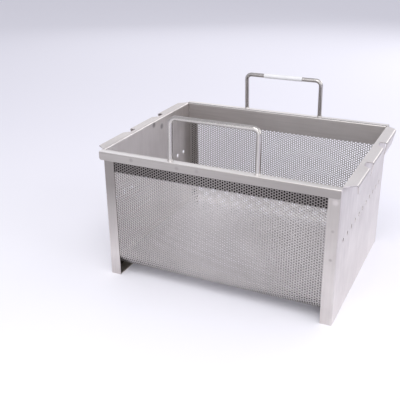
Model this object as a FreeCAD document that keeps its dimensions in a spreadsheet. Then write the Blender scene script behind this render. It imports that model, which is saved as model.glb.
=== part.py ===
import FreeCAD, Part
import Sketcher
import math
import os

# Deep fryer basket of welded stainless sheet.
# Two folded end plates stand on the floor and carry a perforated U between them.
# A folded rim caps the front and the rear wall, and a bent rod handle stands on each rim.
# The origin is on the floor under the middle. X runs from end plate to end plate, Y to the rear.

DRIVING_SIZES = {
    # Overall
    "width": 414.0,
    "depth": 330.0,
    "height": 240.0,
    # End plates
    "plate_sheet": 1.5,
    "plate_bend": 2.5,
    "leg_flange": 20.0,
    "top_flange": 19.5,
    "lip_drop": 23.0,
    "lip_lean": 8.0,
    "mitre_near": 3.0,
    "mitre_far": 18.0,
    "notch_length": 30.0,
    "notch_depth": 12.5,
    "front_notch_back": -43.0,
    "rear_notch_back": 63.5,
    "vent_hole": 8.0,
    "vent_count": 11.0,
    "vent_pitch": 26.5,
    "vent_height": 139.5,
    # Perforated wrap
    "wrap_sheet": 1.2,
    "wrap_bend": 25.0,
    "wrap_rise": 17.0,
    "mesh_hole": 3.175,
    "mesh_pitch": 4.7625,
    "mesh_group": 8.0,
    "mesh_margin": 1.0,
    # Rims
    "rim_sheet": 1.5,
    "rim_width": 15.0,
    "rim_lip": 15.0,
    "rim_skirt": 39.0,
    "rim_bend": 3.0,
    "rim_overhang": 1.0,
    "rim_corner": 4.0,
    "fit_gap": 0.5,
    # Handles
    "rod": 7.94,
    "handle_width": 151.0,
    "handle_rise": 71.5,
    "handle_lean": 3.0,
    "handle_bend": 10.0,
    "handle_setback": 8.8,
    "sleeve_length": 77.0,
    "sleeve_wall": 0.5,
    "sleeve_play": 0.05,
    # Welds
    "bead_reach": 1.3,
    "bead_rise": 3.0,
    "bead_shoulder": 0.4,
    "tack_leg": 2.5,
    "skirt_tack_length": 6.0,
    "skirt_tack_rise": 20.0,
    "bottom_tack_length": 18.0,
    "bottom_tack_count": 4.0,
    "bottom_tack_pitch": 68.0,
}


class Size:
    """A length that carries its number and the expression text that a feature is bound to."""

    def __init__(self, number, text):
        self.number = number
        self.text = text

    def __add__(self, other):
        other = as_size(other)
        return Size(self.number + other.number, f"({self.text} + {other.text})")

    def __sub__(self, other):
        other = as_size(other)
        return Size(self.number - other.number, f"({self.text} - {other.text})")

    def __mul__(self, other):
        other = as_size(other)
        return Size(self.number * other.number, f"({self.text} * {other.text})")

    def __truediv__(self, other):
        other = as_size(other)
        return Size(self.number / other.number, f"({self.text} / {other.text})")

    def __neg__(self):
        return Size(-self.number, f"(0 - {self.text})")


def as_size(value):
    """A plain number as a Size."""
    return value if isinstance(value, Size) else Size(float(value), f"({float(value):.12g})")


def sine(angle):
    return Size(math.sin(math.radians(angle.number)), f"sin({angle.text})")


def cosine(angle):
    return Size(math.cos(math.radians(angle.number)), f"cos({angle.text})")


def whole(value):
    """The whole part of a size, for a count of copies."""
    return Size(float(math.floor(value.number)), f"floor({value.text})")


document = FreeCAD.newDocument("FryerBasket")
sheet = document.addObject("Spreadsheet::Sheet", "Sizes")
sizes = {}
for row, (alias, number) in enumerate(DRIVING_SIZES.items(), start=1):
    sheet.set(f"A{row}", alias)
    sheet.set(f"B{row}", str(number))
    sheet.setAlias(f"B{row}", alias)
    sizes[alias] = Size(number, f"Sizes.{alias}")
document.recompute()

# Sizes that follow from the driving ones and that several pieces share
half_width = sizes["width"] / 2
half_depth = sizes["depth"] / 2
height = sizes["height"]
plate_sheet = sizes["plate_sheet"]
plate_bend = sizes["plate_bend"]
plate_inner_bend = plate_bend - plate_sheet
plate_inside = half_width - plate_sheet
leg_inner_edge = half_width - sizes["leg_flange"]
mitre_start = half_depth - sizes["mitre_near"]
wrap_outside = half_depth - plate_sheet
wrap_inside = wrap_outside - sizes["wrap_sheet"]
wrap_end = plate_inside - plate_inner_bend
rim_sheet = sizes["rim_sheet"]
rim_bend = sizes["rim_bend"]
skirt_inside = wrap_inside - rim_sheet
rim_outside = skirt_inside + sizes["rim_width"]
wall_top = height - rim_bend
rod_radius = sizes["rod"] / 2
skirt_foot = height - sizes["rim_skirt"]
handle_line = rim_outside - sizes["handle_setback"]
half_handle = sizes["handle_width"] / 2
handle_lean = sizes["handle_lean"]
leg_foot = height + sizes["bead_rise"]
leg_length = (height + sizes["handle_rise"] - leg_foot) / cosine(handle_lean)


def bind(feature, name, size):
    feature.setExpression(name, size.text)


def new_body(label):
    body = document.addObject("PartDesign::Body", label)
    body.Label = label
    return body


def new_sketch(body, name, plane, lift=None):
    """A sketch on one of the body's own origin planes, lifted off it along its normal if asked."""
    sketch = body.newObject("Sketcher::SketchObject", name)
    support = next(item for item in body.Origin.OriginFeatures if item.Role == plane)
    sketch.AttachmentSupport = [(support, "")]
    sketch.MapMode = "FlatFace"
    if lift is not None:
        bind(sketch, "AttachmentOffset.Base.z", lift)
    return sketch


def hold_point(sketch, geometry, point, across, up):
    """Hold one point of a sketch at its two distances from the origin."""
    for kind, size in (("DistanceX", across), ("DistanceY", up)):
        index = sketch.addConstraint(Sketcher.Constraint(kind, -1, 1, geometry, point, size.number))
        bind(sketch, f"Constraints[{index}]", size)


def vector(across, up):
    return FreeCAD.Vector(across.number, up.number, 0)


def add_outline(sketch, corners):
    """Closed outline of straight edges through the corners, each corner held by two sizes."""
    points = [vector(across, up) for across, up in corners]
    edges = [
        sketch.addGeometry(Part.LineSegment(start, end), False)
        for start, end in zip(points, points[1:] + points[:1])
    ]
    for edge, following in zip(edges, edges[1:] + edges[:1]):
        sketch.addConstraint(Sketcher.Constraint("Coincident", edge, 2, following, 1))
    for edge, (across, up) in zip(edges, corners):
        hold_point(sketch, edge, 1, across, up)


def add_circle(sketch, across, up, radius):
    circle = Part.Circle(vector(across, up), FreeCAD.Vector(0, 0, 1), radius.number)
    geometry = sketch.addGeometry(circle, False)
    index = sketch.addConstraint(Sketcher.Constraint("Radius", geometry, radius.number))
    bind(sketch, f"Constraints[{index}]", radius)
    hold_point(sketch, geometry, 3, across, up)


def add_hexagon(sketch, across, up, corner_radius):
    """A regular hexagon with two corners level with its centre."""
    half_corner = corner_radius / 2
    half_height = half_corner * math.sqrt(3)
    add_outline(sketch, [
        (across + corner_radius, up),
        (across + half_corner, up + half_height),
        (across - half_corner, up + half_height),
        (across - corner_radius, up),
        (across - half_corner, up - half_height),
        (across + half_corner, up - half_height),
    ])


def pad(body, name, sketch, length, symmetric=False):
    feature = body.newObject("PartDesign::Pad", name)
    feature.Profile = sketch
    feature.SideType = "Symmetric" if symmetric else "One side"
    bind(feature, "Length", length)
    document.recompute()
    return feature


def cut_through(body, name, sketch, reach=None):
    """Cut both ways from the sketch, right through or as far as a reach, and check that material goes."""
    before = body.Shape.Volume
    feature = body.newObject("PartDesign::Pocket", name)
    feature.Profile = sketch
    feature.SideType = "Symmetric"
    if reach is None:
        feature.Type = "ThroughAll"
    else:
        bind(feature, "Length", reach * 2)
    document.recompute()
    if body.Shape.Volume >= before:
        raise RuntimeError(f"{body.Label}: {name} cuts nothing")
    return feature


def repeat(body, name, original, sketch, *directions):
    """Copies of one cut along one or two sketch axes, each with its pitch and its count."""
    pattern = body.newObject("PartDesign::LinearPattern", name)
    pattern.Originals = [original]
    for suffix, (axis, pitch, count) in zip(("", "2"), directions):
        setattr(pattern, f"Direction{suffix}", (sketch, [axis]))
        setattr(pattern, f"Mode{suffix}", "Spacing")
        setattr(pattern, f"Spacings{suffix}", [-1.0])  # minus one stands for the pitch itself
        bind(pattern, f"Offset{suffix}", pitch)
        bind(pattern, f"Occurrences{suffix}", count)
    body.Tip = pattern
    document.recompute()
    return pattern


def round_edges(body, name, radius, axis, places):
    """Round the straight edges that run along one axis (X 0, Y 1, Z 2) through the given places."""
    base = body.Tip
    others = [other for other in range(3) if other != axis]
    names = []
    for number, edge in enumerate(base.Shape.Edges, start=1):
        start = edge.firstVertex().Point
        end = edge.lastVertex().Point
        straight = abs(abs(end[axis] - start[axis]) - edge.Length) < 1e-6
        middle = (start + end) / 2
        for place in places:
            away = [abs(middle[other] - size.number) for other, size in zip(others, place)]
            if straight and max(away) < 1e-4:
                names.append(f"Edge{number}")
    feature = body.newObject("PartDesign::Fillet", name)
    feature.Base = (base, names)
    bind(feature, "Radius", radius)
    document.recompute()
    return feature


def end_plate(label, side):
    """One end plate, folded from one sheet: wall, two leg flanges, top flange and leaning lip."""
    body = new_body(label)
    outside = half_width * side
    inside = plate_inside * side

    # Top flange and leaning lip, as one section along the plate
    lean = sizes["lip_lean"]
    flange_outside = half_width + sizes["top_flange"]
    lip_foot = flange_outside - sizes["lip_drop"] * sine(lean)
    lip_foot_height = height - sizes["lip_drop"] * cosine(lean)
    fold_inside = flange_outside - plate_sheet * (sine(lean) + 1) / cosine(lean)
    flange_underside = height - plate_sheet
    section_foot = wall_top - plate_bend
    section = new_sketch(body, f"{label}_section", "XZ_Plane")
    add_outline(section, [
        (inside, section_foot),
        (inside, height),
        (flange_outside * side, height),
        (lip_foot * side, lip_foot_height),
        ((lip_foot - plate_sheet * cosine(lean)) * side, lip_foot_height - plate_sheet * sine(lean)),
        (fold_inside * side, flange_underside),
        (outside, flange_underside),
        (outside, section_foot),
    ])
    pad(body, f"{label}_top_flange", section, mitre_start * 2, symmetric=True)
    round_edges(body, f"{label}_outer_top_bends", plate_bend, 1, [
        (inside, height),
        (flange_outside * side, height),
    ])
    round_edges(body, f"{label}_inner_top_bends", plate_inner_bend, 1, [
        (outside, flange_underside),
        (fold_inside * side, flange_underside),
    ])

    # Mitred ends of the top flange
    mitre = new_sketch(body, f"{label}_mitre", "XY_Plane")
    past_flange = (flange_outside + plate_bend) * side
    mitre_end = half_depth - sizes["mitre_far"]
    for end in (-1, 1):
        add_outline(mitre, [
            (outside, mitre_start * end),
            (flange_outside * side, mitre_end * end),
            (past_flange, mitre_end * end),
            (past_flange, half_depth * end),
            (outside, half_depth * end),
        ])
    cut_through(body, f"{label}_mitres", mitre)

    # Ends of the lip, cut at half a right angle from the fold down
    lip_end = new_sketch(body, f"{label}_lip_end", "YZ_Plane")
    lip_top = height - plate_bend
    past_foot = lip_foot_height - plate_bend
    for end in (-1, 1):
        add_outline(lip_end, [
            (mitre_end * end, lip_top),
            ((mitre_end - lip_top + past_foot) * end, past_foot),
            (half_depth * end, past_foot),
            (half_depth * end, lip_top),
        ])
    cut_through(body, f"{label}_lip_ends", lip_end)

    # Wall and leg flanges, as one U in plan
    plan = new_sketch(body, f"{label}_plan", "XY_Plane")
    leg_edge = leg_inner_edge * side
    add_outline(plan, [
        (outside, -half_depth),
        (outside, half_depth),
        (leg_edge, half_depth),
        (leg_edge, wrap_outside),
        (inside, wrap_outside),
        (inside, -wrap_outside),
        (leg_edge, -wrap_outside),
        (leg_edge, -half_depth),
    ])
    pad(body, f"{label}_wall", plan, wall_top)
    round_edges(body, f"{label}_outer_leg_bends", plate_bend, 2, [
        (outside, -half_depth),
        (outside, half_depth),
    ])
    round_edges(body, f"{label}_inner_leg_bends", plate_inner_bend, 2, [
        (inside, -wrap_outside),
        (inside, wrap_outside),
    ])

    # Two notches, slanted in front and square behind
    notch = new_sketch(body, f"{label}_notch", "XY_Plane")
    notch_floor = (flange_outside - sizes["notch_depth"]) * side
    for back in (sizes["front_notch_back"], sizes["rear_notch_back"]):
        front = back - sizes["notch_length"]
        add_outline(notch, [
            (notch_floor, back),
            (notch_floor, front + sizes["notch_depth"]),
            (flange_outside * side, front),
            (past_flange, front),
            (past_flange, back),
        ])
    cut_through(body, f"{label}_notches", notch)

    # Row of round holes
    vent = new_sketch(body, f"{label}_vent", "YZ_Plane")
    first_vent = -(sizes["vent_pitch"] * (sizes["vent_count"] - 1) / 2)
    add_circle(vent, first_vent, sizes["vent_height"], sizes["vent_hole"] / 2)
    first_hole = cut_through(body, f"{label}_first_vent", vent)
    repeat(body, f"{label}_vents", first_hole, vent, ("H_Axis", sizes["vent_pitch"], sizes["vent_count"]))
    return body


def perforated_wrap(label):
    """One perforated sheet bent to a U. One wide gap stands for a group of its small holes."""
    body = new_body(label)
    rise = sizes["wrap_rise"]
    bottom_inside = rise + sizes["wrap_sheet"]
    section = new_sketch(body, f"{label}_section", "YZ_Plane")
    add_outline(section, [
        (-wrap_outside, wall_top),
        (-wrap_outside, rise),
        (wrap_outside, rise),
        (wrap_outside, wall_top),
        (wrap_inside, wall_top),
        (wrap_inside, bottom_inside),
        (-wrap_inside, bottom_inside),
        (-wrap_inside, wall_top),
    ])
    pad(body, f"{label}_sheet", section, wrap_end * 2, symmetric=True)
    round_edges(body, f"{label}_inner_bends", sizes["wrap_bend"], 0, [
        (-wrap_inside, bottom_inside),
        (wrap_inside, bottom_inside),
    ])
    round_edges(body, f"{label}_outer_bends", sizes["wrap_bend"] + sizes["wrap_sheet"], 0, [
        (-wrap_outside, rise),
        (wrap_outside, rise),
    ])

    # Six-sided gaps in staggered columns, of the same open share as the small round holes
    pitch = sizes["mesh_pitch"] * sizes["mesh_group"]
    column = pitch * math.sqrt(3) / 2
    corner_radius = sizes["mesh_hole"] * sizes["mesh_group"] * math.sqrt(math.pi / (6 * math.sqrt(3)))
    gap_height = corner_radius * math.sqrt(3)
    field_width = (leg_inner_edge - sizes["mesh_margin"]) * 2
    columns = whole((field_width - corner_radius * 2 + column) / column)
    first_column = -(column * (columns - 1) / 2)
    wall_foot = bottom_inside + sizes["wrap_bend"]
    wall_head = height - sizes["rim_lip"]
    flat_end = wrap_inside - sizes["wrap_bend"]
    for plane, low, high in (("XZ_Plane", wall_foot, wall_head), ("XY_Plane", -flat_end, flat_end)):
        field = high - low - sizes["mesh_margin"] * 2
        rows = whole((field - gap_height + pitch / 2) / pitch)
        first_row = (low + high) / 2 - pitch * (rows * 2 - 1) / 4
        where = "wall" if plane == "XZ_Plane" else "bottom"
        for step in (0, 1):
            columns_here = whole((columns + 1 - step) / 2)
            gap = new_sketch(body, f"{label}_{where}_gap_{step}", plane)
            add_hexagon(gap, first_column + column * step, first_row + pitch / 2 * step, corner_radius)
            first_gap = cut_through(body, f"{label}_{where}_first_gap_{step}", gap)
            repeat(body, f"{label}_{where}_gaps_{step}", first_gap, gap,
                   ("H_Axis", column * 2, columns_here), ("V_Axis", pitch, rows))

    # One row of the same gaps along the middle of each bend, seen from the bend's own centre line
    past_bend = sizes["wrap_bend"] + sizes["wrap_sheet"] * 2
    for where, end, turn in (("front", -1, 45), ("rear", 1, 135)):
        gap = new_sketch(body, f"{label}_{where}_bend_gap", "XZ_Plane", -(flat_end * end))
        bind(gap, "AttachmentOffset.Base.y", wall_foot)
        gap.AttachmentOffset.Rotation = FreeCAD.Rotation(FreeCAD.Vector(1, 0, 0), turn)
        add_hexagon(gap, first_column, as_size(0), corner_radius)
        first_gap = cut_through(body, f"{label}_{where}_bend_first_gap", gap, past_bend)
        repeat(body, f"{label}_{where}_bend_gaps", first_gap, gap, ("H_Axis", column, columns))
    return body


def rim(label, side):
    """One folded channel over a wall: outer lip, top and a deep skirt inside the wrap."""
    body = new_body(label)
    lip_foot = height - sizes["rim_lip"]
    underside = height - rim_sheet
    lip_inside = rim_outside - rim_sheet
    section = new_sketch(body, f"{label}_section", "YZ_Plane")
    add_outline(section, [
        (skirt_inside * side, skirt_foot),
        (skirt_inside * side, height),
        (rim_outside * side, height),
        (rim_outside * side, lip_foot),
        (lip_inside * side, lip_foot),
        (lip_inside * side, underside),
        (wrap_inside * side, underside),
        (wrap_inside * side, skirt_foot),
    ])
    rim_end = half_width + sizes["rim_overhang"]
    pad(body, f"{label}_sheet", section, rim_end * 2, symmetric=True)
    round_edges(body, f"{label}_outer_bends", rim_bend, 0, [
        (skirt_inside * side, height),
        (rim_outside * side, height),
    ])
    round_edges(body, f"{label}_inner_bends", rim_bend - rim_sheet, 0, [
        (lip_inside * side, underside),
        (wrap_inside * side, underside),
    ])
    round_edges(body, f"{label}_lip_corners", sizes["rim_corner"], 1, [
        (-rim_end, lip_foot),
        (rim_end, lip_foot),
    ])

    # The skirt ends inside the plates, and the top is relieved round their flanges
    relief = new_sketch(body, f"{label}_relief", "XY_Plane")
    relief_end = plate_inside - sizes["fit_gap"]
    relief_back = mitre_start + sizes["fit_gap"]
    past_rim = rim_end + rim_bend
    for end in (-1, 1):
        add_outline(relief, [
            (relief_end * end, (skirt_inside - rim_bend) * side),
            (relief_end * end, relief_back * side),
            (past_rim * end, relief_back * side),
            (past_rim * end, (skirt_inside - rim_bend) * side),
        ])
    cut_through(body, f"{label}_reliefs", relief)
    return body


def lean_in(body, side):
    """Stand a body on the middle of a handle's feet, leaning in over the basket."""
    body.Placement.Rotation = FreeCAD.Rotation(FreeCAD.Vector(side, 0, 0), handle_lean.number)
    bind(body, "Placement.Rotation.Angle", handle_lean)
    bind(body, "Placement.Base.y", handle_line * side)
    bind(body, "Placement.Base.z", leg_foot)


def handle(label, side):
    """One round rod bent to a U that stands on the rim."""
    body = new_body(label)
    rod = sizes["rod"]
    bend = sizes["handle_bend"]
    path = new_sketch(body, f"{label}_path", "XZ_Plane")
    shoulder = leg_length - bend
    bar_end = half_handle - bend
    joints = [
        (-half_handle, -rod),
        (-half_handle, shoulder),
        (-bar_end, leg_length),
        (bar_end, leg_length),
        (half_handle, shoulder),
        (half_handle, -rod),
    ]
    runs = []
    for start, end in (joints[0:2], joints[2:4], joints[4:6]):
        run = path.addGeometry(Part.LineSegment(vector(*start), vector(*end)), False)
        hold_point(path, run, 1, *start)
        hold_point(path, run, 2, *end)
        runs.append(run)
    for number, (end, quarter) in enumerate(((-1, math.pi / 2), (1, 0.0))):
        centre = vector(bar_end * end, shoulder)
        circle = Part.Circle(centre, FreeCAD.Vector(0, 0, 1), bend.number)
        arc = path.addGeometry(Part.ArcOfCircle(circle, quarter, quarter + math.pi / 2), False)
        path.addConstraint(Sketcher.Constraint("Coincident", runs[number], 2, arc, 2))
        path.addConstraint(Sketcher.Constraint("Coincident", runs[number + 1], 1, arc, 1))
        index = path.addConstraint(Sketcher.Constraint("Radius", arc, bend.number))
        bind(path, f"Constraints[{index}]", bend)
    section = new_sketch(body, f"{label}_section", "XY_Plane", -rod)
    add_circle(section, -half_handle, as_size(0), rod_radius)
    document.recompute()
    sweep = body.newObject("PartDesign::AdditivePipe", f"{label}_rod")
    sweep.Profile = section
    sweep.Spine = path
    document.recompute()

    # The feet are cut level, so that the leaning legs stand flat on their welds
    level = new_sketch(body, f"{label}_level", "YZ_Plane")
    rise_across_rod = rod * sine(handle_lean) / cosine(handle_lean) * side
    add_outline(level, [
        (-rod, rise_across_rod),
        (rod, -rise_across_rod),
        (rod, -(rod * 2)),
        (-rod, -(rod * 2)),
    ])
    cut_through(body, f"{label}_level_feet", level)
    lean_in(body, side)
    return body


def sleeve(label, side):
    """The plain sleeve round the middle of a handle's bar."""
    body = new_body(label)
    bore = rod_radius + sizes["sleeve_play"]
    section = new_sketch(body, f"{label}_section", "YZ_Plane")
    add_circle(section, as_size(0), leg_length, bore)
    add_circle(section, as_size(0), leg_length, bore + sizes["sleeve_wall"])
    pad(body, f"{label}_tube", section, sizes["sleeve_length"], symmetric=True)
    lean_in(body, side)
    return body


def place(item, x, y, z):
    for axis, size in (("x", x), ("y", y), ("z", z)):
        bind(item, f"Placement.Base.{axis}", size)


def handle_welds(label, side):
    """The two welds that a handle's feet are sunk in, each a low cone on the rim."""
    welds = []
    for end, where in ((-1, "left"), (1, "right")):
        weld = document.addObject("Part::Cone", f"{label}_{where}")
        bind(weld, "Radius1", rod_radius + sizes["bead_reach"])
        bind(weld, "Radius2", rod_radius + sizes["bead_shoulder"])
        bind(weld, "Height", sizes["bead_rise"])
        place(weld, half_handle * end, handle_line * side, height)
        welds.append(weld)
    return gathered(label, welds)


def tack_weld(name, length, rotation):
    """A three-sided tack weld, turned so that its two square faces lie in a corner."""
    tack = document.addObject("Part::Wedge", name)
    for low in ("Xmin", "Ymin", "Zmin", "X2min", "Z2min"):
        setattr(tack, low, 0)
    tack.X2max = 0
    bind(tack, "Xmax", sizes["tack_leg"])
    bind(tack, "Ymax", sizes["tack_leg"])
    bind(tack, "Zmax", length)
    bind(tack, "Z2max", length)
    tack.Placement.Rotation = rotation
    return tack


def skirt_tacks(label):
    """The four tacks in the corners between the rims' skirts and the end plates."""
    up = FreeCAD.Vector(0, 0, 1)
    tack_foot = skirt_foot + sizes["skirt_tack_rise"]
    tacks = []
    for end_x, end_y, turn in ((1, 1, 180), (-1, 1, 270), (-1, -1, 0), (1, -1, 90)):
        name = f"{label}_{len(tacks) + 1}"
        tack = tack_weld(name, sizes["skirt_tack_length"], FreeCAD.Rotation(up, turn))
        place(tack, plate_inside * end_x, skirt_inside * end_y, tack_foot)
        tacks.append(tack)
    return gathered(label, tacks)


def bottom_tacks(label):
    """The tacks in the corners under the wrap's bottom, along both end plates."""
    up = FreeCAD.Vector(0, 0, 1)
    lying = FreeCAD.Rotation(FreeCAD.Vector(1, 0, 0), 90)
    count = int(DRIVING_SIZES["bottom_tack_count"])
    first = -(sizes["bottom_tack_pitch"] * (sizes["bottom_tack_count"] - 1) / 2)
    rear_end = first + sizes["bottom_tack_length"] / 2
    tacks = []
    for end, turn in ((-1, 270), (1, 180)):
        rotation = lying.multiply(FreeCAD.Rotation(up, turn))
        for step in range(count):
            tack = tack_weld(f"{label}_{len(tacks) + 1}", sizes["bottom_tack_length"], rotation)
            place(tack, plate_inside * end, rear_end + sizes["bottom_tack_pitch"] * step, sizes["wrap_rise"])
            tacks.append(tack)
    return gathered(label, tacks)


def gathered(label, items):
    """Separate solids of one kind, kept together as one piece of the assembly."""
    group = document.addObject("Part::Compound", label)
    group.Label = label
    group.Links = items
    document.recompute()
    return group


nodes = [
    end_plate("end_plate_left", -1),
    end_plate("end_plate_right", 1),
    perforated_wrap("perforated_wrap"),
    rim("rim_front", -1),
    rim("rim_rear", 1),
    handle("handle_front", -1),
    handle("handle_rear", 1),
    sleeve("handle_sleeve", 1),
    handle_welds("handle_welds_front", -1),
    handle_welds("handle_welds_rear", 1),
    skirt_tacks("skirt_tacks"),
    bottom_tacks("bottom_tacks"),
]
document.recompute()

for item in document.Objects:
    if "Invalid" in item.State or "Error" in item.State:
        raise RuntimeError(f"{item.Name} did not recompute: {item.State}")
for node in nodes:
    if node.Shape.isNull() or not node.Shape.isValid() or node.Shape.Volume <= 0:
        raise RuntimeError(f"{node.Label} has no sound solid")

os.makedirs("parts", exist_ok=True)
for node in nodes:
    node.Shape.exportStep(f"parts/{node.Label}.step")
    box = node.Shape.BoundBox
    corners = f"{box.XMin:.2f},{box.YMin:.2f},{box.ZMin:.2f} to {box.XMax:.2f},{box.YMax:.2f},{box.ZMax:.2f}"
    print(f"{node.Label}: {len(node.Shape.Solids)} solid, {node.Shape.Volume:.0f} mm3, {corners}")
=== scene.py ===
import math

import bpy
import numpy as np
from mathutils import Matrix, Vector


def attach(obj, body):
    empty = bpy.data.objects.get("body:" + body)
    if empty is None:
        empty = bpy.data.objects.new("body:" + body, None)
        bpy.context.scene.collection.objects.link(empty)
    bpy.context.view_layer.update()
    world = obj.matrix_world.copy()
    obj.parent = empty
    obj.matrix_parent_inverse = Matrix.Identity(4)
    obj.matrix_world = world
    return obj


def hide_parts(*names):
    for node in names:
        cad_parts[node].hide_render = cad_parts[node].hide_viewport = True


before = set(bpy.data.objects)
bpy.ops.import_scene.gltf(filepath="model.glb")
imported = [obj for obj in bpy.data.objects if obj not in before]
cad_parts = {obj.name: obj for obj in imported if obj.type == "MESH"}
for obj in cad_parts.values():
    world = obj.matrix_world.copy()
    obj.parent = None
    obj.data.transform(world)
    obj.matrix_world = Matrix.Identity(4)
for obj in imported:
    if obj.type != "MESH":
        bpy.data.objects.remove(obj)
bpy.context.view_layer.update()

MM = 0.001

# The basket's own sizes in millimetres, with x to the right, y to the rear and z up
WALL_TOP = 237.0
WRAP_OUTSIDE = 163.5
WRAP_SHEET = 1.2
WRAP_RISE = 17.0
WRAP_BEND = 25.0
WRAP_END = 204.5
MESH_HOLE = 3.175
MESH_PITCH = 4.7625
MESH_MARGIN = 1.0
SKIRT_BACK = 162.3
SKIRT_INSIDE = 160.8
PLATE_INSIDE = 205.5
PLATE_OUTSIDE = 207.0
PLATE_SHEET = 1.5
FLANGE_END = 187.0
FLANGE_FACE = 165.0
FOOT_END = 162.4
FOOT_GAP = 0.05
LIP_FACE = 175.8

# Where the painted light and shade begin and end, in millimetres
FLANGE_CORNER = 205.0
FOOT_CORNER = 163.0
WRAP_LEVEL = 18.0
BEND_FOOT = 236.0
BEND_TOP = 239.7
BEND_START = 215.0
RIM_TOP = 239.2
PLATE_TOP = 239.4

# Noise scales in cycles per metre, and the height of the sheet's waves in metres
CLOUD_SCALE = 14.0
SMEAR_SCALE = 30.0
STREAK_SCALE = 260.0
WAVE_SCALE = 30.0
WAVE_HEIGHT = 0.002

# How near a face has to be to count, in millimetres, and the share of a spot that isn't faded
FACE_REACH = 0.4
SPOT_CORE = 0.4

EVEN_GRAIN = (1.0, 1.0, 1.0)
GRAIN_ALONG_X = (0.05, 1.0, 1.0)
GRAIN_ALONG_Z = (1.0, 1.0, 0.05)
GRAIN_UPRIGHT = (1.0, 1.0, 0.4)

# Faces that meet at more than this angle keep a sharp edge
SHARP_ANGLE = math.radians(30)


# Shader building blocks

def nodes_of(name):
    """A new material with an empty node tree and its Principled shader wired to the output."""
    material = bpy.data.materials.new(name)
    material.use_nodes = True
    tree = material.node_tree
    tree.nodes.clear()
    output = tree.nodes.new("ShaderNodeOutputMaterial")
    shader = tree.nodes.new("ShaderNodeBsdfPrincipled")
    tree.links.new(shader.outputs["BSDF"], output.inputs["Surface"])
    return material, tree, shader


def noise(tree, scale, stretch=EVEN_GRAIN, detail=3.0, offset=(0.0, 0.0, 0.0)):
    """Noise in the object's own coordinates, in cycles per metre, stretched along the axes."""
    coordinates = tree.nodes.new("ShaderNodeTexCoord")
    mapping = tree.nodes.new("ShaderNodeMapping")
    mapping.inputs["Scale"].default_value = [scale * part for part in stretch]
    mapping.inputs["Location"].default_value = offset
    texture = tree.nodes.new("ShaderNodeTexNoise")
    texture.inputs["Scale"].default_value = 1.0
    texture.inputs["Detail"].default_value = detail
    tree.links.new(coordinates.outputs["Object"], mapping.inputs["Vector"])
    tree.links.new(mapping.outputs["Vector"], texture.inputs["Vector"])
    return texture.outputs["Fac"]


def ramp(tree, factor, low, high, start=0.35, end=0.65):
    """Factor from start to end turned into a value from low to high, level beyond both."""
    node = tree.nodes.new("ShaderNodeMapRange")
    node.inputs["From Min"].default_value = start
    node.inputs["From Max"].default_value = end
    node.inputs["To Min"].default_value = low
    node.inputs["To Max"].default_value = high
    tree.links.new(factor, node.inputs["Value"])
    return node.outputs["Result"]


def socket_of(sockets, identifier):
    """The socket of a Mix node that has this identifier, since its names repeat."""
    return next(socket for socket in sockets if socket.identifier == identifier)


def blend_colours(tree, factor, first, second):
    """The second colour laid over the first one by a factor."""
    node = tree.nodes.new("ShaderNodeMix")
    node.data_type = "RGBA"
    for identifier, colour in (("A_Color", first), ("B_Color", second)):
        target = socket_of(node.inputs, identifier)
        if isinstance(colour, tuple):
            target.default_value = (*colour, 1.0)
        else:
            tree.links.new(colour, target)
    tree.links.new(factor, socket_of(node.inputs, "Factor_Float"))
    return socket_of(node.outputs, "Result_Color")


def calculate(tree, operation, *values):
    """One Math node over sockets and plain numbers."""
    node = tree.nodes.new("ShaderNodeMath")
    node.operation = operation
    for socket, value in zip(node.inputs, values):
        if isinstance(value, (int, float)):
            socket.default_value = value
        else:
            tree.links.new(value, socket)
    return node.outputs["Value"]


def product(tree, *values):
    """All the values multiplied, so a place counts only where each of them has it."""
    total = values[0]
    for value in values[1:]:
        total = calculate(tree, "MULTIPLY", total, value)
    return total


def along(tree, axis, unsigned=False):
    """The shaded point's distance from the origin along one axis, in millimetres."""
    coordinates = tree.nodes.new("ShaderNodeTexCoord")
    split = tree.nodes.new("ShaderNodeSeparateXYZ")
    tree.links.new(coordinates.outputs["Object"], split.inputs["Vector"])
    distance = calculate(tree, "DIVIDE", split.outputs[axis], MM)
    return calculate(tree, "ABSOLUTE", distance) if unsigned else distance


def fade(tree, axis, stops, unsigned=False):
    """A value that changes evenly between two places along an axis and is level beyond them.

    The stops are each place in millimetres with its value, such as {60.0: 0.05, 200.0: 0.56}.
    """
    (start, low), (end, high) = stops.items()
    return ramp(tree, along(tree, axis, unsigned), low, high, start, end)


def on_face(tree, axis, place, reach=FACE_REACH, mirrored=True):
    """One on the flat faces at a place along an axis, at its mirror image too if mirrored, else nought."""
    return calculate(tree, "COMPARE", along(tree, axis, mirrored), place, reach)


def above(tree, height):
    """One above a height in millimetres, nought below it."""
    return calculate(tree, "GREATER_THAN", along(tree, "Z"), height)


def within(tree, axis, limit):
    """One nearer to the origin along an axis than the limit in millimetres, nought elsewhere."""
    return calculate(tree, "LESS_THAN", along(tree, axis, True), limit)


def spots(tree, centres, radius):
    """One at each centre, fading to nought at the radius, in millimetres."""
    total = None
    coordinates = tree.nodes.new("ShaderNodeTexCoord")
    for centre in centres:
        gap = tree.nodes.new("ShaderNodeVectorMath")
        gap.operation = "DISTANCE"
        tree.links.new(coordinates.outputs["Object"], gap.inputs[0])
        gap.inputs[1].default_value = [part * MM for part in centre]
        mark = ramp(tree, gap.outputs["Value"], 1.0, 0.0, radius * SPOT_CORE * MM, radius * MM)
        total = mark if total is None else calculate(tree, "MAXIMUM", total, mark)
    return total


# Colours of grain streaks, painted light and painted shade

# Colour of the grain streaks, and of the painted shade on the upper leg flanges
STREAK_AND_SHADE = (0.30, 0.28, 0.27)
# Painted light on the end plates' top faces and low outer faces
PAINTED_LIGHT = (0.95, 0.91, 0.90)
# Near black painted shade behind the perforated sheet and in the flange notches
DEEP_SHADE = (0.02, 0.018, 0.017)
SHADE = (0.15, 0.14, 0.12)
# Near black painted shade on the rim skirts' backs, seen through the holes
GAP_SHADE = (0.004, 0.0036, 0.0034)


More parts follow.
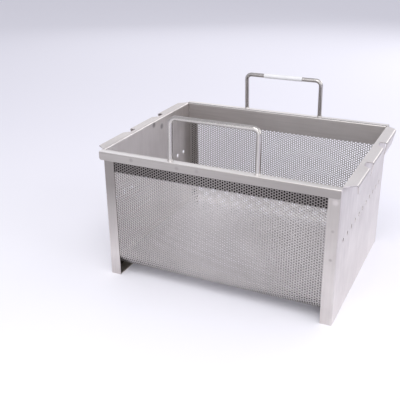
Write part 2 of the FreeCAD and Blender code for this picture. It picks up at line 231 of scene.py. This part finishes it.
def steel(name, light, dark, overlays=(), rough=(0.38, 0.48), grain=EVEN_GRAIN, streak=0.15, bump=0.05):
    """Stainless steel: cloudy tone, fine grain streaks, slight waviness, and stains, painted light and
    painted shade on top.

    Each overlay, whether a stain, painted light or painted shade, is a function that gives where it lies,
    with its colour.
    """
    material, tree, shader = nodes_of(name)
    shader.inputs["Metallic"].default_value = 1.0
    clouds = ramp(tree, noise(tree, CLOUD_SCALE, detail=4.0), 0.0, 1.0)
    colour = blend_colours(tree, clouds, light, dark)
    streaks = noise(tree, STREAK_SCALE, grain, detail=2.0, offset=(3.0, 7.0, 1.0))
    colour = blend_colours(tree, ramp(tree, streaks, 0.0, streak), colour, STREAK_AND_SHADE)
    for where, overlay in overlays:
        colour = blend_colours(tree, where(tree), colour, overlay)
    tree.links.new(colour, shader.inputs["Base Color"])
    tree.links.new(ramp(tree, streaks, *rough), shader.inputs["Roughness"])
    height = tree.nodes.new("ShaderNodeBump")
    height.inputs["Strength"].default_value = bump
    height.inputs["Distance"].default_value = WAVE_HEIGHT
    tree.links.new(noise(tree, WAVE_SCALE, detail=2.0), height.inputs["Height"])
    tree.links.new(height.outputs["Normal"], shader.inputs["Normal"])
    return material


# Steel of the end plates

def top_faces_light(tree):
    """Painted light on the level faces along the top edge, stronger to the right."""
    return product(tree, above(tree, PLATE_TOP), fade(tree, "X", {-200.0: 0.1, 200.0: 0.5}))


def low_outside_light(tree):
    """Painted light on the feet of the end plates on the outside, fading upwards."""
    return product(tree, fade(tree, "Z", {0.0: 0.35, 150.0: 0.0}), on_face(tree, "X", PLATE_OUTSIDE))


def left_inside_light(tree):
    """Painted light on the left end plate's inner face above the wrap's bottom, cloudy, fading from front
    to rear.
    """
    face = on_face(tree, "X", -PLATE_INSIDE, mirrored=False)
    cloudy = ramp(tree, noise(tree, SMEAR_SCALE, GRAIN_UPRIGHT, detail=4.0), 0.65, 1.0)
    front = fade(tree, "Y", {-165.0: 1.0, 80.0: 0.15})
    return product(tree, face, cloudy, front, above(tree, WRAP_LEVEL))


def behind_mesh_shade(tree):
    """Painted shade on the sides of the leg flanges that lie against the perforated sheet or face away
    under it, seen through the holes.
    """
    return product(tree, on_face(tree, "Y", WRAP_OUTSIDE), within(tree, "X", FLANGE_CORNER))


def under_wrap(tree):
    """The end plates' inner faces below the wrap, fading out as it begins."""
    low = fade(tree, "Z", {15.0: 1.0, WRAP_LEVEL: 0.0})
    return product(tree, low, within(tree, "Y", FOOT_CORNER), on_face(tree, "X", PLATE_INSIDE))


def upper_flanges_shade(tree):
    """Painted shade on the upper half of the leg flanges' outer faces, fading downwards, and deeper on the
    left.
    """
    high = fade(tree, "Z", {60.0: 0.05, 200.0: 0.56})
    side = fade(tree, "X", {-190.0: 2.1, 190.0: 1.0})
    return product(tree, on_face(tree, "Y", FLANGE_FACE), high, side)


def spot_welds(tree):
    """Small round marks on the right front leg flange, where it is spot-welded to the wrap."""
    return spots(tree, [(197.0, -FLANGE_FACE, 117.5), (197.0, -FLANGE_FACE, 166.5)], radius=3.2)


def bright_weld(tree):
    """The lighter, ground mark near the top of the right front leg flange."""
    return spots(tree, [(198.0, -FLANGE_FACE, 214.0)], radius=6.0)


def smudges(tree):
    """Two finger marks inside the left end plate."""
    return spots(tree, [(-PLATE_INSIDE, 10.7, 233.3), (-PLATE_INSIDE, 41.3, 222.1)], radius=7.0)


def flange_bends_shade(tree):
    """Painted shade on the outer bends of the side flanges, toning down their highlight."""
    outer = calculate(tree, "GREATER_THAN", along(tree, "X", True), BEND_START)
    return product(tree, above(tree, BEND_FOOT), within(tree, "Z", BEND_TOP), outer, 0.9)


def notch_shade(tree):
    """Painted shade at the inner ends of the left flange's notches, where the hollow under the flange lies
    in shadow.
    """
    return spots(tree, [(-218.6, -51.0, 240.0), (-219.6, 61.0, 240.0)], radius=5.0)


# Real marks, painted light and painted shade on the end plates
PLATE_MARKS_AND_LIGHT = [
    (top_faces_light, PAINTED_LIGHT),
    (low_outside_light, PAINTED_LIGHT),
    (left_inside_light, (0.97, 0.93, 0.92)),
    (behind_mesh_shade, DEEP_SHADE),
    (under_wrap, SHADE),
    (upper_flanges_shade, STREAK_AND_SHADE),
    (spot_welds, (0.40, 0.37, 0.36)),
    (bright_weld, (0.56, 0.53, 0.52)),
    (smudges, (0.40, 0.375, 0.37)),
    (flange_bends_shade, (0.42, 0.40, 0.39)),
    (notch_shade, DEEP_SHADE),
]
plate_steel = steel(
    "plate_steel", (0.76, 0.72, 0.70), (0.64, 0.60, 0.585), PLATE_MARKS_AND_LIGHT, grain=GRAIN_ALONG_Z, streak=0.07)


# Steel of the perforated sheet

def mesh_sides_shade(tree):
    """Painted shade on the front wall towards its left and right ends, and most towards its top."""
    front = fade(tree, "Y", {-163.0: 1.0, -140.0: 0.0})
    high = fade(tree, "Z", {40.0: 0.5, 185.0: 1.3})
    return product(tree, front, high, fade(tree, "X", {20.0: 0.0, 180.0: 0.45}, unsigned=True))


def under_lip(tree):
    """The front wall's outside where the skirt backs it, in the lip's shade, most at both ends."""
    front = on_face(tree, "Y", -WRAP_OUTSIDE, reach=0.3, mirrored=False)
    side = fade(tree, "X", {20.0: 0.8, 150.0: 1.0}, unsigned=True)
    return product(tree, front, side, fade(tree, "Z", {199.0: 0.0, 203.0: 1.0}))


def rear_half_shade(tree):
    """Painted shade on the rear wall of the perforated sheet, seen against the light."""
    return fade(tree, "Y", {110.0: 0.0, 150.0: 1.0})


# Painted shade on the perforated sheet
MESH_PAINTED_SHADE = [
    (mesh_sides_shade, (0.36, 0.34, 0.33)),
    (under_lip, (0.205, 0.188, 0.184)),
    (rear_half_shade, (0.52, 0.50, 0.49)),
]
mesh_steel = steel("mesh_steel", (0.66, 0.63, 0.62), (0.54, 0.515, 0.505), MESH_PAINTED_SHADE, rough=(0.36, 0.46))


# Steel of the rims

def rim_top_highlight(tree):
    """Painted highlight on the rims' level tops: the rear one all over, the front one along its lip and
    most on the left.
    """
    lip = fade(tree, "Y", {-173.0: 1.0, -163.0: 0.1})
    side = fade(tree, "X", {-200.0: 1.0, 200.0: 0.35})
    rear = fade(tree, "Y", {-100.0: 0.0, 100.0: 0.6})
    return product(tree, above(tree, RIM_TOP), calculate(tree, "MAXIMUM", product(tree, lip, side), rear))


def lip_faces_shade(tree):
    """Painted shade on the rims' hanging lips on the outside, deeper to the right."""
    darker = fade(tree, "X", {-150.0: 0.6, 150.0: 1.0})
    return product(tree, on_face(tree, "Y", LIP_FACE, reach=0.5), darker)


def skirt_inside_shade(tree):
    """Painted shade on the side of a rim's skirt that faces the food."""
    return product(tree, on_face(tree, "Y", SKIRT_INSIDE), 0.35)


def skirt_back_shade(tree):
    """Painted shade on the side of a rim's skirt that lies against the perforated sheet, seen through the
    holes.
    """
    return on_face(tree, "Y", SKIRT_BACK)


def lip_marks(tree):
    """Small scuffs on the front rim's lip."""
    places = [(-60.1, -LIP_FACE, 231.9), (-24.4, -LIP_FACE, 232.2), (-145.0, -LIP_FACE, 233.0)]
    return spots(tree, places, radius=4.5)


# Real scuffs, painted highlight and painted shade on the rims
RIM_MARKS_AND_LIGHT = [
    (rim_top_highlight, (0.99, 0.96, 0.95)),
    (lip_faces_shade, (0.33, 0.31, 0.30)),
    (skirt_inside_shade, (0.36, 0.335, 0.33)),
    (skirt_back_shade, GAP_SHADE),
    (lip_marks, (0.36, 0.34, 0.33)),
]
rim_steel = steel("rim_steel", (0.70, 0.665, 0.645), (0.63, 0.60, 0.58), RIM_MARKS_AND_LIGHT, grain=GRAIN_ALONG_X)


# Steel of the hole walls, near white as painted light, with painted shade in the front half

def front_half_shade(tree):
    """Painted shade on the hole walls of the front half, darkest behind the lip and towards both ends."""
    front = fade(tree, "Y", {-130.0: 1.0, -60.0: 0.0})
    band = fade(tree, "Z", {198.0: 0.0, 202.0: 1.0})
    side = fade(tree, "X", {20.0: 0.55, 150.0: 1.0}, unsigned=True)
    return product(tree, front, calculate(tree, "MAXIMUM", band, side))


HOLE_PAINTED_SHADE = [(front_half_shade, (0.016, 0.0145, 0.014))]
hole_steel = steel(
    "hole_steel", (0.97, 0.95, 0.96), (0.90, 0.88, 0.89), HOLE_PAINTED_SHADE, rough=(0.4, 0.5), streak=0.0)


# Steel of the handles' rods

rod_steel = steel(
    "rod_steel", (0.54, 0.515, 0.50), (0.49, 0.47, 0.455), rough=(0.25, 0.27), streak=0.02, bump=0.0)


# Steel of the turned-in feet, darkened as painted shade, with a painted highlight along their edge

def foot_edge_highlight(tree):
    """Painted highlight on the cut edge of the turned-in feet."""
    return on_face(tree, "X", FLANGE_END, reach=0.3)


FOOT_HIGHLIGHT = [(foot_edge_highlight, (0.75, 0.71, 0.69))]
foot_steel_shaded = steel("foot_steel_shaded", (0.48, 0.45, 0.39), (0.38, 0.36, 0.31), FOOT_HIGHLIGHT, rough=(0.45, 0.55))


# Weld metal

weld_steel = steel("weld_steel", (0.78, 0.75, 0.73), (0.55, 0.52, 0.50), rough=(0.35, 0.5), bump=0.3)


# White plastic of the sleeve

def white_plastic(name):
    """Matt white plastic with a slightly cloudy tone."""
    material, tree, shader = nodes_of(name)
    tone = ramp(tree, noise(tree, scale=120.0), 0.0, 1.0)
    colour = blend_colours(tree, tone, (0.86, 0.86, 0.87), (0.81, 0.81, 0.82))
    tree.links.new(colour, shader.inputs["Base Color"])
    shader.inputs["Roughness"].default_value = 0.5
    return material


sleeve_white = white_plastic("sleeve_white")


# The frame's own nodes in their finishes

FINISHES = {
    "end_plate_left": plate_steel,
    "end_plate_right": plate_steel,
    "rim_front": rim_steel,
    "rim_rear": rim_steel,
    "handle_front": rod_steel,
    "handle_rear": rod_steel,
    "handle_sleeve": sleeve_white,
    "handle_welds_front": weld_steel,
    "handle_welds_rear": weld_steel,
    "skirt_tacks": weld_steel,
    "bottom_tacks": weld_steel,
}

for node, material in FINISHES.items():
    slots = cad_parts[node].data.materials
    slots.clear()
    slots.append(material)


# The perforated wrap's section: two walls, two quarter bends and the bottom, in one middle line

BEND_RADIUS = WRAP_BEND + WRAP_SHEET / 2
MIDDLE_Y = WRAP_OUTSIDE - WRAP_SHEET / 2
BEND_Y = MIDDLE_Y - BEND_RADIUS
BEND_Z = WRAP_RISE + WRAP_SHEET / 2 + BEND_RADIUS
WALL_LENGTH = WALL_TOP - BEND_Z
BEND_LENGTH = BEND_RADIUS * math.pi / 2
STOPS = np.cumsum([0.0, WALL_LENGTH, BEND_LENGTH, BEND_Y * 2, BEND_LENGTH, WALL_LENGTH])
SHEET_LENGTH = float(STOPS[-1])

# The lattice of holes on the flat sheet, placed by one hole of the photographed front wall
HOLE_X = 180.2
HOLE_Z = 210.4
HALF_ROW = MESH_PITCH / 2
COLUMN_WIDTH = MESH_PITCH * math.sqrt(3) / 2
COLUMNS_RIGHT = int((WRAP_END - MESH_MARGIN - COLUMN_WIDTH / 2 - HOLE_X) / COLUMN_WIDTH)
COLUMNS_LEFT = int((HOLE_X + WRAP_END - MESH_MARGIN - COLUMN_WIDTH / 2) / COLUMN_WIDTH)
COLUMNS = COLUMNS_LEFT + COLUMNS_RIGHT + 1
COLUMN_START = HOLE_X - (COLUMNS_LEFT + 0.5) * COLUMN_WIDTH
ROW_START = (WALL_TOP - HOLE_Z - HALF_ROW * (1 + COLUMNS_LEFT % 2)) % MESH_PITCH
ROWS = int((SHEET_LENGTH - MESH_MARGIN - ROW_START) / MESH_PITCH)

# The flat sheet's grid: x of the column edges, and the sheet's length at every half row
HOLED_X = COLUMN_START + COLUMN_WIDTH * np.arange(COLUMNS + 1)
HOLED_S = ROW_START + HALF_ROW * np.arange(ROWS * 2 + 1)
COLUMN_EDGES = np.concatenate([[-WRAP_END], HOLED_X, [WRAP_END]])
ROW_EDGES = np.concatenate([[0.0], HOLED_S, [SHEET_LENGTH]])

# An eight-sided hole with the area of the round one
HOLE_SIDES = 8
HOLE_REACH = MESH_HOLE / 2 * math.sqrt(math.pi / (2 * math.sqrt(2)))
HOLE_TURNS = np.arange(HOLE_SIDES) * math.pi / 4

# The triangles of one cell, from its six border points, 0 to 5, to the hole's eight points, 6 to 13
CELL_TRIANGLES = [
    (0, 1, 7), (0, 7, 6),
    (1, 2, 8), (1, 8, 7), (2, 9, 8),
    (2, 3, 10), (2, 10, 9),
    (3, 4, 11), (3, 11, 10),
    (4, 5, 12), (4, 12, 11), (5, 13, 12),
    (5, 0, 6), (5, 6, 13),
]


def wrap_section(length):
    """Middle line of the bent sheet by its length from the front wall's top edge.

    Down the front wall, round a quarter circle, along the bottom, round a second quarter circle and up
    the rear wall. Gives y, z and the outward normal's y and z for every length at once.
    """
    part = np.clip(np.searchsorted(STOPS, length, side="right") - 1, 0, len(STOPS) - 2)
    local = length - STOPS[part]
    turn = local / BEND_RADIUS
    zero = np.zeros_like(length)
    one = np.ones_like(length)
    normal_y = np.choose(part, [-one, -np.cos(turn), zero, np.sin(turn), one])
    normal_z = np.choose(part, [zero, -np.sin(turn), -one, -np.cos(turn), zero])
    y = np.choose(part, [-MIDDLE_Y * one, -BEND_Y * one, local - BEND_Y, BEND_Y * one, MIDDLE_Y * one])
    z = np.choose(part, [
        WALL_TOP - local, BEND_Z * one, BEND_Z - BEND_RADIUS * one, BEND_Z * one, BEND_Z + local,
    ])
    bend = (part == 1) | (part == 3)
    y = y + np.where(bend, BEND_RADIUS * normal_y, 0.0)
    z = z + np.where(bend, BEND_RADIUS * normal_z, 0.0)
    return y, z, normal_y, normal_z


def pairs_of(first, second):
    """Every pair of an item of the first array and one of the second, as two flat arrays."""
    return [part.ravel() for part in np.meshgrid(first, second, indexing="ij")]


def grid_point(column, row):
    """Number of the grid's point at a column edge and a half row."""
    return column * len(ROW_EDGES) + row


def holed_cells(first_row, last_row):
    """The cells of some rows of holes, each a ring of triangles between its border and its hole.

    A cell is one column wide and one pitch long, and every second column is shifted by half a pitch.
    The hole's points lie on a circle round the cell's middle and are numbered after the grid's.
    Gives the triangles and the x and length of the hole's points.
    """
    column, hole = pairs_of(np.arange(COLUMNS), np.arange(ROWS))
    row = hole * 2 + column % 2
    keep = (row + 2 <= ROWS * 2) & (hole >= first_row) & (hole < last_row)
    column = column[keep] + 1
    row = row[keep] + 1
    middle_x = (COLUMN_EDGES[column] + COLUMN_EDGES[column + 1]) / 2
    middle_s = ROW_EDGES[row + 1]
    hole_x = middle_x[:, None] + HOLE_REACH * np.cos(HOLE_TURNS)
    hole_s = middle_s[:, None] + HOLE_REACH * np.sin(HOLE_TURNS)
    ring = len(COLUMN_EDGES) * len(ROW_EDGES) + np.arange(hole_x.size).reshape(-1, HOLE_SIDES)
    border = np.stack([
        grid_point(column + 1, row + 1), grid_point(column + 1, row + 2), grid_point(column, row + 2),
        grid_point(column, row + 1), grid_point(column, row), grid_point(column + 1, row),
    ], 1)
    points = np.concatenate([border, ring], 1)
    triangles = np.concatenate([points[:, corners] for corners in CELL_TRIANGLES])
    return triangles, hole_x.ravel(), hole_s.ravel()


def plain_cells(first_row, last_row):
    """The cells of some rows without a hole: the side borders, both ends and the shifted columns' halves.

    Each is a rectangle of the grid, one column wide and half a pitch long, cut into two triangles. The
    first strip begins at the sheet's own edge and the last one ends there.
    """
    across = len(COLUMN_EDGES) - 1
    down = len(ROW_EDGES) - 1
    column, row = pairs_of(np.arange(across), np.arange(down))
    side = (column == 0) | (column == across - 1)
    end = (row == 0) | (row == down - 1)
    shifted = (column - 1) % 2 == 1
    half_cell = shifted & ((row == 1) | (row == down - 2))
    low = first_row * 2 + 1 if first_row else 0
    high = last_row * 2 + 1 if last_row < ROWS else down
    plain = (side | end | half_cell) & (row >= low) & (row < high)
    column = column[plain]
    row = row[plain]
    near = grid_point(column, row)
    far = grid_point(column + 1, row + 1)
    first = np.stack([near, grid_point(column + 1, row), far], 1)
    second = np.stack([near, far, grid_point(column, row + 1)], 1)
    return np.concatenate([first, second])


def perforated_strip(name, first_row, last_row):
    """A band of the wrap between two rows of holes, as one closed sheet with real holes.

    Its flat triangles are those of the holed and the plain cells, and only the points that they use
    are kept and bent with the section.
    """
    grid_x, grid_s = pairs_of(COLUMN_EDGES, ROW_EDGES)
    holed, hole_x, hole_s = holed_cells(first_row, last_row)
    faces = np.concatenate([holed, plain_cells(first_row, last_row)])
    used, faces = np.unique(faces, return_inverse=True)
    flat_x = np.concatenate([grid_x, hole_x])[used]
    flat_s = np.concatenate([grid_s, hole_s])[used]
    return sheet_piece(name, flat_x, flat_s, faces.reshape(-1, 3))


def sheet_piece(name, flat_x, flat_s, faces):
    """Bends a flat outline of triangles with the wrap's section and closes it to a sheet.

    The outer and inner faces lie half a sheet out and in along the normal. Every free edge of the
    outer face, hole edges too, gets a wall to the inner one.
    """
    y, z, normal_y, normal_z = wrap_section(flat_s)
    count = len(flat_x)
    layers = []
    for side in (1, -1):
        shift = side * WRAP_SHEET / 2
        layers.append(np.stack([flat_x, y + normal_y * shift, z + normal_z * shift], 1))
    vertices = np.concatenate(layers) * MM
    start = faces[:, [0, 1, 2]].ravel()
    stop = faces[:, [1, 2, 0]].ravel()
    forward = start.astype(np.int64) * count + stop
    backward = stop.astype(np.int64) * count + start
    free = ~np.isin(forward, backward)
    start = start[free]
    stop = stop[free]
    walls = np.stack([start, start + count, stop + count, stop], 1)
    inner = faces[:, ::-1] + count
    return build(name, vertices, np.concatenate([faces, inner]), walls)


def placed(name, data):
    """A new object with this data, in the scene."""
    item = bpy.data.objects.new(name, data)
    bpy.context.scene.collection.objects.link(item)
    return item


def build(name, vertices, triangles, quads):
    """A mesh object from arrays of vertices, triangles and quads. The quads take the second slot."""
    mesh = bpy.data.meshes.new(name)
    loops = np.concatenate([triangles.ravel(), quads.ravel()]).astype(np.int32)
    sizes = np.concatenate([np.full(len(triangles), 3), np.full(len(quads), 4)])
    starts = np.concatenate([[0], np.cumsum(sizes)[:-1]]).astype(np.int32)
    mesh.vertices.add(len(vertices))
    mesh.vertices.foreach_set("co", vertices.astype(np.float32).ravel())
    mesh.loops.add(len(loops))
    mesh.loops.foreach_set("vertex_index", loops)
    mesh.polygons.add(len(sizes))
    mesh.polygons.foreach_set("loop_start", starts)
    mesh.polygons.foreach_set("material_index", (sizes == 4).astype(np.int32))
    mesh.update(calc_edges=True)
    mesh.validate()
    mesh.polygons.foreach_set("use_smooth", np.ones(len(mesh.polygons), dtype=bool))
    mesh.set_sharp_from_angle(angle=SHARP_ANGLE)
    return placed(name, mesh)


def plain_box(name, low, high):
    """A closed box between two corners in millimetres, its points counted along x, then y, then z."""
    spans = list(zip(low, high))
    corners = [(x * MM, y * MM, z * MM) for z in spans[2] for y in spans[1] for x in spans[0]]
    sides = [(0, 4, 6, 2), (1, 3, 7, 5), (0, 1, 5, 4), (2, 6, 7, 3), (0, 2, 3, 1), (4, 5, 7, 6)]
    mesh = bpy.data.meshes.new(name)
    mesh.from_pydata(corners, [], sides)
    return placed(name, mesh)


# The end plates' lower edges, which turn in along the floor and are missing in the solids
for name, side in (("foot_flange_left", -1), ("foot_flange_right", 1)):
    low_x, high_x = sorted((side * PLATE_INSIDE, side * FLANGE_END))
    foot = plain_box(name, (low_x, -FOOT_END, FOOT_GAP), (high_x, FOOT_END, PLATE_SHEET))
    foot.data.materials.append(foot_steel_shaded)
    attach(foot, "root")


# The wrap in four strips, so that none has too many triangles
STRIPS = ("wrap_front", "wrap_front_bottom", "wrap_rear_bottom", "wrap_rear")
CUTS = [round(ROWS * part / len(STRIPS)) for part in range(len(STRIPS) + 1)]

for name, first_row, last_row in zip(STRIPS, CUTS, CUTS[1:]):
    strip = perforated_strip(name, first_row, last_row)
    strip.data.materials.append(mesh_steel)
    strip.data.materials.append(hole_steel)
    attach(strip, "root")
    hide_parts("perforated_wrap")


# Pale floor, which is the backdrop too

FLOOR_REACH = 12.0


def pale_floor(name):
    """Matt pale sheet with a slightly cloudy tone, and painted shade that deepens to the rear and to the
    right.
    """
    material, tree, shader = nodes_of(name)
    cloudy = ramp(tree, noise(tree, scale=3.0), 0.0, 1.0)
    colour = blend_colours(tree, cloudy, (0.945, 0.937, 0.975), (0.935, 0.927, 0.97))
    rear = fade(tree, "Y", {-450.0: 0.0, 500.0: 1.0})
    colour = blend_colours(tree, rear, colour, (0.905, 0.895, 0.965))
    right = fade(tree, "X", {240.0: 0.0, 520.0: 1.0})
    colour = blend_colours(tree, right, colour, (0.79, 0.785, 0.88))
    tree.links.new(colour, shader.inputs["Base Color"])
    shader.inputs["Roughness"].default_value = 0.9
    return material


floor_mesh = bpy.data.meshes.new("floor")
floor_corners = [(x * FLOOR_REACH, y * FLOOR_REACH, 0) for x, y in ((-1, -1), (1, -1), (1, 1), (-1, 1))]
floor_mesh.from_pydata(floor_corners, [], [(0, 1, 2, 3)])
floor_mesh.materials.append(pale_floor("floor_pale"))
placed("floor", floor_mesh)


# Soft studio light

WORLD_COLOUR = (0.9, 0.9, 0.96, 1.0)
WORLD_STRENGTH = 0.70

world = bpy.data.worlds.new("studio")
world.use_nodes = True
background = world.node_tree.nodes["Background"]
background.inputs["Color"].default_value = WORLD_COLOUR
background.inputs["Strength"].default_value = WORLD_STRENGTH
bpy.context.scene.world = world

BASKET_MIDDLE = Vector((0.0, 0.0, 0.1))


def softbox(name, place, width, height, power):
    """A rectangular lamp that faces the middle of the basket, in metres and watts."""
    lamp = bpy.data.lights.new(name, "AREA")
    lamp.shape = "RECTANGLE"
    lamp.size = width
    lamp.size_y = height
    lamp.energy = power
    item = placed(name, lamp)
    item.rotation_euler = (BASKET_MIDDLE - Vector(place)).to_track_quat("-Z", "Y").to_euler()
    item.location = place


softbox("front_light", (0.3, -1.2, 1.8), width=1.4, height=1.4, power=18.0)
softbox("low_light", (0.1, -1.9, 0.45), width=1.8, height=0.6, power=6.0)
softbox("right_light", (2.0, -0.2, 1.2), width=1.4, height=1.4, power=11.5)
softbox("rear_light", (0.9, 2.2, 1.0), width=1.6, height=0.9, power=11.5)
softbox("rear_left_light", (-1.2, 2.2, 1.0), width=1.6, height=0.9, power=3.0)


# Camera at the photograph's viewing angle

CAMERA_PLACE = Vector((406.10, -1055.24, 613.50)) * MM
CAMERA_AZIMUTH = math.radians(25.787)
CAMERA_ELEVATION = math.radians(23.733)
CAMERA_ROLL = math.radians(-0.625)
FOCAL_PIXELS = 662.47
IMAGE_PIXELS = 400
SENSOR_WIDTH = 36.0
CLIP_END = 50.0

forward = Vector((
    -math.sin(CAMERA_AZIMUTH) * math.cos(CAMERA_ELEVATION),
    math.cos(CAMERA_AZIMUTH) * math.cos(CAMERA_ELEVATION),
    -math.sin(CAMERA_ELEVATION),
))
level = Vector((math.cos(CAMERA_AZIMUTH), math.sin(CAMERA_AZIMUTH), 0))
upright = level.cross(forward)
right = level * math.cos(CAMERA_ROLL) + upright * math.sin(CAMERA_ROLL)
up = upright * math.cos(CAMERA_ROLL) - level * math.sin(CAMERA_ROLL)
lens = bpy.data.cameras.new("camera")
lens.sensor_width = SENSOR_WIDTH
lens.lens = FOCAL_PIXELS / IMAGE_PIXELS * SENSOR_WIDTH
lens.clip_end = CLIP_END
camera = placed("camera", lens)
camera.matrix_world = Matrix((
    (right.x, up.x, -forward.x, CAMERA_PLACE.x),
    (right.y, up.y, -forward.y, CAMERA_PLACE.y),
    (right.z, up.z, -forward.z, CAMERA_PLACE.z),
    (0, 0, 0, 1),
))
bpy.context.scene.camera = camera
bpy.context.scene.view_settings.view_transform = "Standard"
